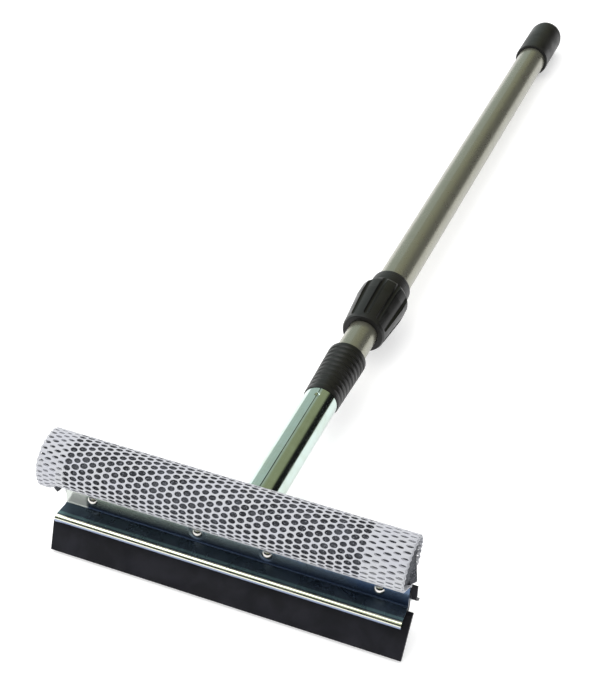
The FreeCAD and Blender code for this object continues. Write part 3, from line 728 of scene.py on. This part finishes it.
    # the bands' second layer lies inside the first, slightly out of step
    within = w.add("GeometryNodeInputNamedAttribute", {"Name": "doubled"}, data_type="FLOAT")
    lining = w.add("GeometryNodeDeleteGeometry",
                   {"Geometry": knitted, "Selection": w.math("LESS_THAN",
                                                             within.outputs[0], 0.5)},
                   domain="FACE").outputs[0]
    step = w.combine(w.math("MULTIPLY", pitch, LINING_STEP[0]), ROW_PITCH * LINING_STEP[1],
                     -1.0)
    lining = w.add("GeometryNodeSetPosition", {"Geometry": lining, "Offset": step}).outputs[0]
    both = w.add("GeometryNodeJoinGeometry")
    w.put(lining, both.inputs[0])
    w.put(knitted, both.inputs[0])
    knitted = both.outputs[0]

    # drawn together in the left band, then wrapped round the pinched section
    tight = w.math("ADD", given["Left"], w.math("MULTIPLY", w.math(
        "SUBTRACT", left_edge, given["Left"]), given["Left Tight"]))
    parts = w.split(place)
    along = w.math("ADD", w.ramp(parts[0], given["Left"], left_edge, given["Left"], tight),
                   w.ramp(parts[0], left_edge, given["Right"], tight, given["Right"]))
    over = w.math("ADD", w.math("MINIMUM", 0.0, w.math("SUBTRACT", parts[0], given["Left"])),
                  w.math("MAXIMUM", 0.0, w.math("SUBTRACT", parts[0], given["Right"])))
    along = w.math("ADD", w.math("SUBTRACT", along, tight), over)
    lines = w.add("GeometryNodeMeshToCurve", {"Mesh": given["Section"]}).outputs[0]
    wave = w.add("ShaderNodeTexNoise", {"Vector": place, "Scale": 45.0, "Detail": 1.0})
    stretch = w.math("MULTIPLY", w.math("SUBTRACT", wave.outputs[0], 0.5), NET_WAVE)
    total = w.math("MULTIPLY", w.math("ADD", given["Rows"], 1.0), ROW_PITCH)
    share = w.math("DIVIDE", w.math("ADD", parts[1], stretch), total, clamp=True)
    wrapped = w.add("GeometryNodeSampleCurve", {"Curves": lines, "Factor": share},
                    mode="FACTOR").outputs["Position"]

    # swelling to a hanging round section at the free end
    centre = w.combine(0.0, given["Middle"], given["Middle Height"])
    outward = w.vector("NORMALIZE", w.vector("SUBTRACT", wrapped, centre))
    down = w.math("MAXIMUM", 0.0, w.math("MULTIPLY", -1.0, w.split(outward)[2]))
    sag = w.math("MULTIPLY", given["Drop"], w.math("MULTIPLY", down, down))
    reach = w.math("ADD", given["Radius"], sag)
    loose = w.vector("ADD", w.vector("SCALE", outward, reach), centre)
    free = w.fall(along, w.math("SUBTRACT", given["Free From"], FREE_RUN * MM),
                  given["Free From"])
    mix = w.add("ShaderNodeMix", data_type="VECTOR")
    w.put(free, mix.inputs[0])
    w.put(wrapped, mix.inputs[4])
    w.put(loose, mix.inputs[5])

    # leaning and swaying a little along the head, with the lining drawn inward
    on_roll = w.split(mix.outputs[1])
    lean = w.math("MULTIPLY", w.math("SUBTRACT", on_roll[2], given["Middle Height"]),
                  given["Lean"])
    wave = w.add("ShaderNodeTexNoise", {"Vector": mix.outputs[1], "Scale": 50.0, "Detail": 1.0})
    sway = w.math("MULTIPLY", w.math("SUBTRACT", wave.outputs[0], 0.5), NET_SWAY)
    leant = w.math("ADD", along, lean)
    moved = w.combine(w.math("ADD", leant, sway), on_roll[1], on_roll[2])
    core = w.combine(leant, given["Middle"], given["Middle Height"])
    inward = w.vector("NORMALIZE", w.vector("SUBTRACT", core, moved))
    under = w.ramp(parts[2], -1.0, 0.0, LINING_DEPTH, 0.0)
    moved = w.vector("ADD", moved, w.vector("SCALE", inward, under))
    net = w.add("GeometryNodeSetPosition", {"Geometry": knitted, "Position": moved}).outputs[0]
    net = w.add("GeometryNodeRealizeInstances", {"Geometry": net}).outputs[0]
    net = w.add("GeometryNodeSetMaterial", {"Geometry": net,
                                            "Material": given["Material"]}).outputs[0]
    w.put(net, out["Net"])
    return tree


class SQ_OT_net(Operator):
    """Knits the net sleeve over the roll"""
    bl_idname = "squeegee.net"
    bl_label = "Net sleeve"

    def execute(self, context):
        size = sizes()
        material = net_finish()
        inset = size.strand / 2 + NET_CLEARANCE
        line = [(0, p.x * MM, p.y * MM) for p in roll_outline(inset, NET_POINTS)]
        mesh = run_tree(line_object("net_line", line), net_tree(), {
            "Columns": size.columns, "Rows": size.rows, "Left": NET_LEFT * MM,
            "Right": NET_RIGHT * MM, "Left Band": size.left_band,
            "Right Band": size.right_band, "Hole": size.hole, "Band Hole": size.band_hole,
            "Free From": FREE_FROM * MM, "Middle Height": size.centre_z * MM,
            "Middle": size.centre_y * MM, "Radius": (size.radius - inset) * MM,
            "Material": material})
        mesh.name = "net_sleeve"
        mesh.transform(POLE)
        net = new_object("net_sleeve", mesh, "head")
        wall = net.modifiers.new("strand", "SOLIDIFY")
        wall.thickness = size.strand * MM
        wall.offset = 0.0
        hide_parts("net_cover")
        return {"FINISHED"}


class SQ_OT_foam(Operator):
    """Fills the net with the foam bar, pinched between the plates"""
    bl_idname = "squeegee.foam"
    bl_label = "Foam bar"

    def execute(self, context):
        work = bmesh.new()
        rings = self.skin(work)
        self.cut_end(work, rings[0], -1)
        self.cut_end(work, rings[-1], 1)
        bmesh.ops.recalc_face_normals(work, faces=work.faces)
        mesh = bpy.data.meshes.new("foam_bar")
        work.to_mesh(mesh)
        work.free()
        mesh.transform(POLE)
        foam = new_object("foam_bar", mesh, "head", foam_finish())
        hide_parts("sponge")
        return {"FINISHED"}

    def skin(self, work):
        """The bar's outside: rings of vertices from left to right, with faces between them."""
        left, right = NET_LEFT + FOAM_SHORT[0], NET_RIGHT - FOAM_SHORT[1]
        pinched = roll_outline(FOAM_INSET, FOAM_AROUND)
        rings = []
        for k in range(FOAM_ALONG + 1):
            x = left + (right - left) * k / FOAM_ALONG
            free = min(1.0, max(0.0, (FREE_FROM - x) / FREE_RUN))
            free = free * free * (3 - 2 * free)
            end = min(k, FOAM_ALONG - k)
            pillow = 1.0 - END_PINCH * max(0.0, 1 - end / END_PINCH_RINGS) ** 2
            ring = []
            for p in pinched:
                spot = self.uneven(x, p.lerp(hanging(p, FOAM_INSET, FOAM_DROP), free), pillow)
                rear = min(1.0, max(0.0, (spot.x - WEDGE_BACK) / WEDGE_BACK_FADE))
                lower = min(1.0, max(0.0, (WEDGE_TOP - spot.y) / WEDGE_TOP_FADE))
                wedge = WEDGE_REACH * rear * lower * max(0.0, 1 - (right - x) / WEDGE_RUN)
                ring.append(work.verts.new(((x + wedge) * MM, spot.x * MM, spot.y * MM)))
            rings.append(ring)
        for a, b in zip(rings, rings[1:]):
            self.join(work, a, b)
        return rings

    def uneven(self, x, spot, pillow):
        """A point of the section, moved in or out by the foam's lumps and its tuft."""
        size = sizes()
        centre = Vector((size.centre_y, size.centre_z))
        on_round = size.centre_z - spot.y < size.centre_z - size.neck_z - 1.0
        lump = noise.noise(Vector((x * 0.35, spot.x * 0.35, spot.y * 0.35)))
        lump += 0.5 * noise.noise(Vector((x * 1.1, spot.x * 1.1, spot.y * 1.1)))
        way = spot - centre
        spot = centre + way * (pillow * (1 + (FOAM_LUMPS * lump if on_round else 0.0)))
        if way.normalized().y < TUFT_BELOW:
            spot.y -= TUFT_DEPTH * math.exp(-((x - TUFT_AT) / TUFT_WIDTH) ** 2)
        return spot

    def join(self, work, a, b):
        for j in range(FOAM_AROUND):
            n = (j + 1) % FOAM_AROUND
            work.faces.new((a[j], a[n], b[n], b[j]))

    def cut_end(self, work, ring, sign):
        """Closes an end ring with a slightly bulging, uneven face."""
        size = sizes()
        inner = ring
        for share in END_RINGS:
            middle = Vector((ring[0].co.x + sign * END_ROUND * MM * (1 - share),
                             size.centre_y * MM, size.centre_z * MM))
            new = []
            for v in ring:
                co = middle.lerp(v.co, share)
                lump = noise.noise(co * 420) * END_LUMPS * MM
                new.append(work.verts.new((middle.x + lump, co.y, co.z)))
            self.join(work, inner, new)
            inner = new
        centre = work.verts.new(middle)
        for j in range(FOAM_AROUND):
            work.faces.new((inner[j], inner[(j + 1) % FOAM_AROUND], centre))


# ---------------------------------------------------------------- finishes on the CAD pieces
class SQ_OT_metal(Operator):
    """Zinc on the plates, rivets, washers and rolled handle"""
    bl_idname = "squeegee.metal"
    bl_label = "Zinc pieces"

    def execute(self, context):
        tint = colours()
        finish_node(front_plate_finish(), "front_plate")
        finish_node(zinc_finish("back_zinc", tint.zinc, 0.24), "back_plate")
        finish_node(zinc_finish("rivet_zinc", tint.rivet, 0.12, (30.0, 30.0, 30.0)),
                    "outer_rivets", "centre_rivets")
        finish_node(zinc_finish("washer_zinc", tint.washer, 0.32, (30.0, 30.0, 30.0)),
                    "outer_rivet_washers", "centre_rivet_washers")
        finish_node(handle_finish(), "handle_tube")
        return {"FINISHED"}


class SQ_OT_rubber(Operator):
    """Black rubber on the blade and the rear flap"""
    bl_idname = "squeegee.rubber"
    bl_label = "Rubber pieces"

    def execute(self, context):
        finish_node(rubber_finish(), "rubber_blade", "rear_flap")
        return {"FINISHED"}


class SQ_OT_pole(Operator):
    """Paint on the tubes, and plastic on the grip, lock, cap and hidden pieces"""
    bl_idname = "squeegee.pole"
    bl_label = "Pole pieces"

    def execute(self, context):
        tint = colours()
        finish_node(tube_finish(), "inner_tube", "outer_tube")
        neck_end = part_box("lock_body")[1].y
        cap_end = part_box("end_cap")[1].y
        finish_node(plastic_finish("grip_plastic", tint.plastic, 0.34), "grip_sleeve")
        finish_node(plastic_finish("nut_plastic", tint.plastic, 0.30), "lock_nut")
        finish_node(plastic_finish("neck_plastic", tint.plastic, 0.36,
                                   [neck_end - back for back in NECK_RINGS]), "lock_body")
        finish_node(plastic_finish("cap_plastic", tint.plastic, 0.38,
                                   [cap_end - back for back in CAP_RINGS]), "end_cap")
        finish_node(plastic_finish("natural_plastic", tint.hidden, 0.45), "tail_plug",
                    "wear_ring", "clamp_ring")
        return {"FINISHED"}


# ---------------------------------------------------------------- the studio
class SQ_OT_stage(Operator):
    """Pale floor, soft lights, surround and camera"""
    bl_idname = "squeegee.stage"
    bl_label = "Studio"

    def execute(self, context):
        setting = stage()
        scene = bpy.context.scene
        mesh = bpy.data.meshes.new("floor")
        corners = [(x * FLOOR_HALF, y * FLOOR_HALF, FLOOR_HEIGHT)
                   for x, y in ((-1, -1), (1, -1), (1, 1), (-1, 1))]
        mesh.from_pydata(corners, [], [(0, 1, 2, 3)])
        floor = bpy.data.objects.new("floor", mesh)
        scene.collection.objects.link(floor)
        material, wires, sockets, place = blank_material("studio_floor", setting.floor,
                                                         Roughness=0.9, Specular_IOR_Level=0.1,
                                                         Emission_Color=(1, 1, 1, 1),
                                                         Emission_Strength=0.3)
        mottle = wires.add("ShaderNodeTexNoise", {"Vector": place, "Scale": 3.0})
        wires.put(wires.mix_colour(wires.math("MULTIPLY", mottle.outputs[0], 0.05),
                                   setting.floor, (1.0, 1.0, 1.0)), sockets["Base Color"])
        mesh.materials.append(material)
        self.light("key", (-0.45, -0.55, 1.15), target=(0.0, -0.25, 0.03), size=1.0,
                   power=setting.key)
        self.light("side", (-0.95, 0.25, 0.55), target=(0.0, -0.1, 0.03), size=0.5,
                   power=setting.key * 0.25)
        self.surround(scene, setting)
        self.camera(scene, setting)
        scene.view_settings.view_transform = "Standard"
        return {"FINISHED"}

    def light(self, name, spot, target, size, power):
        data = bpy.data.lights.new(name, "AREA")
        data.shape = "SQUARE"
        data.size = size
        data.energy = power
        lamp = bpy.data.objects.new(name, data)
        lamp.location = spot
        lamp.rotation_euler = (Vector(target) - Vector(spot)).to_track_quat("-Z", "Y").to_euler()
        bpy.context.scene.collection.objects.link(lamp)

    def surround(self, scene, setting):
        """White behind; for reflections a pale ceiling over dark bands in front and at a side."""
        world = bpy.data.worlds.new("studio")
        scene.world = world
        world.use_nodes = True
        world.node_tree.nodes.clear()
        w = Wires(world.node_tree)
        way = w.add("ShaderNodeTexCoord").outputs["Generated"]
        parts = w.split(way)
        side = w.math("MULTIPLY", w.rise(parts[2], *SIDE_LOW),
                      w.fall(parts[2], *SIDE_TOP))
        side = w.math("MULTIPLY", side, w.rise(parts[0], *SIDE_EDGE))
        front = w.math("MULTIPLY", w.rise(parts[2], *FRONT_LOW),
                       w.fall(parts[2], *FRONT_TOP))
        front = w.math("MULTIPLY", front, w.fall(parts[1], *FRONT_EDGE))
        dark = w.math("MAXIMUM", side, front)
        ceiling = w.mix_colour(w.rise(parts[0], *CEILING_FADE),
                               setting.ceiling_left, setting.ceiling_right)
        seen = w.mix_colour(dark, ceiling, setting.band)
        path = w.add("ShaderNodeLightPath").outputs
        soft = w.mix_colour(path["Is Glossy Ray"], (0.97, 0.97, 0.97), seen)
        shown = w.mix_colour(path["Is Camera Ray"], soft, (1.0, 1.0, 1.0))
        back = w.add("ShaderNodeBackground", {"Color": shown, "Strength": setting.fill})
        out = w.add("ShaderNodeOutputWorld")
        w.tree.links.new(back.outputs[0], out.inputs["Surface"])

    def camera(self, scene, setting):
        data = bpy.data.cameras.new("camera")
        data.lens = setting.lens
        data.sensor_width = 36.0
        data.clip_start, data.clip_end = 0.02, 60.0
        turn = Vector(setting.camera_turn)
        seen = Quaternion(turn.normalized(), turn.length).to_matrix()
        facing = Matrix((seen[0], -seen[1], -seen[2])).transposed().to_4x4()
        facing.translation = Vector(setting.camera_at)
        camera = bpy.data.objects.new("camera", data)
        camera.matrix_world = POLE @ facing
        scene.collection.objects.link(camera)
        scene.camera = camera


class SQ_PT_panel(Panel):
    """Builds the squeegee's looks piece by piece"""
    bl_label = "Squeegee"
    bl_idname = "SQ_PT_panel"
    bl_space_type = "VIEW_3D"
    bl_region_type = "UI"
    bl_category = "Squeegee"

    def draw(self, context):
        column = self.layout.column()
        for operator in OPERATORS:
            column.operator(operator.bl_idname)
        for group in (sizes(), colours(), stage()):
            box = self.layout.box()
            for name in group.bl_rna.properties.keys():
                if name not in ("rna_type", "name"):
                    box.prop(group, name)


OPERATORS = (SQ_OT_stage, SQ_OT_metal, SQ_OT_rubber, SQ_OT_pole, SQ_OT_foam, SQ_OT_net)
GROUPS = (SQ_roll_sizes, SQ_colours, SQ_stage)


def register():
    for kind in (*GROUPS, *OPERATORS, SQ_PT_panel):
        bpy.utils.register_class(kind)
    bpy.types.Scene.squeegee_roll = PointerProperty(type=SQ_roll_sizes)
    bpy.types.Scene.squeegee_colours = PointerProperty(type=SQ_colours)
    bpy.types.Scene.squeegee_stage = PointerProperty(type=SQ_stage)


def unregister():
    del bpy.types.Scene.squeegee_stage
    del bpy.types.Scene.squeegee_colours
    del bpy.types.Scene.squeegee_roll
    for kind in reversed((*GROUPS, *OPERATORS, SQ_PT_panel)):
        bpy.utils.unregister_class(kind)


def main():
    register()
    for operator in OPERATORS:
        section, name = operator.bl_idname.split(".")
        getattr(getattr(bpy.ops, section), name)()


if __name__ == "__main__":
    main()
